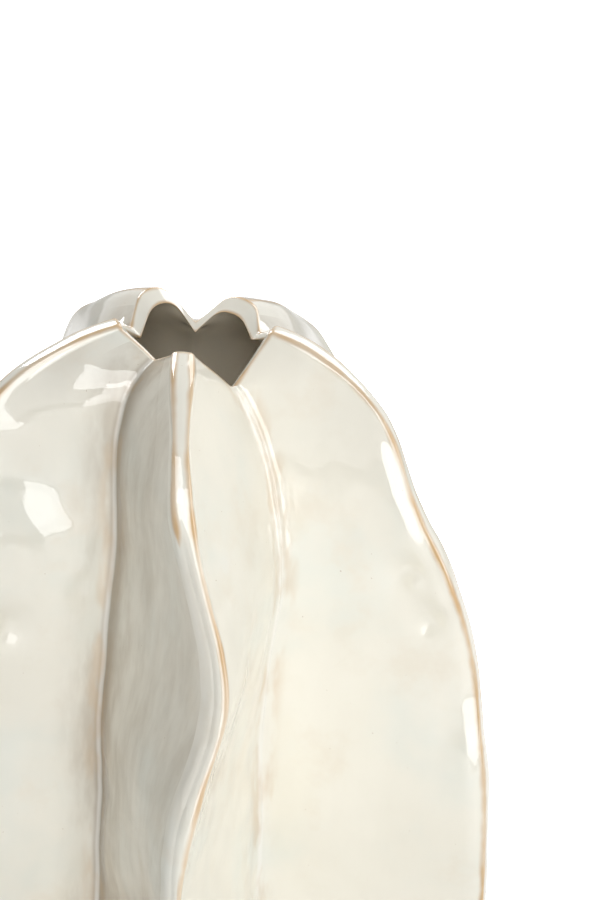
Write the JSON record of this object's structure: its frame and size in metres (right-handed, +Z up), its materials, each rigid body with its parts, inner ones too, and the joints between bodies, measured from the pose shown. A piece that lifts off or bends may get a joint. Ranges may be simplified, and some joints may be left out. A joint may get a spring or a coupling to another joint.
{
  "type": "vase",
  "caption": "Hand-built stoneware flower vase with upright fins round a hollow core, and a small scalloped star-shaped mouth.",
  "frame": {"origin": "where the vase's upright axis meets the table, on the underside of the floor slab", "axes": "+Z up along the vase's axis, -Y towards the viewer along the front fin, +X to the viewer's right"},
  "size_m": [0.2438, 0.2371, 0.348],
  "materials": {
    "cream_glaze": "gloss",
    "bare_clay": "matte"
  },
  "bodies": {
    "root": {"floor_slab": "bare_clay", "wall_slab_front_right": "cream_glaze", "wall_slab_right": "cream_glaze", "wall_slab_back": "cream_glaze", "wall_slab_left": "cream_glaze", "wall_slab_front_left": "cream_glaze", "edge_band_front": "cream_glaze", "edge_band_right": "cream_glaze", "edge_band_back_right": "cream_glaze", "edge_band_back_left": "cream_glaze", "edge_band_left": "cream_glaze"}
  },
  "joints": []
}
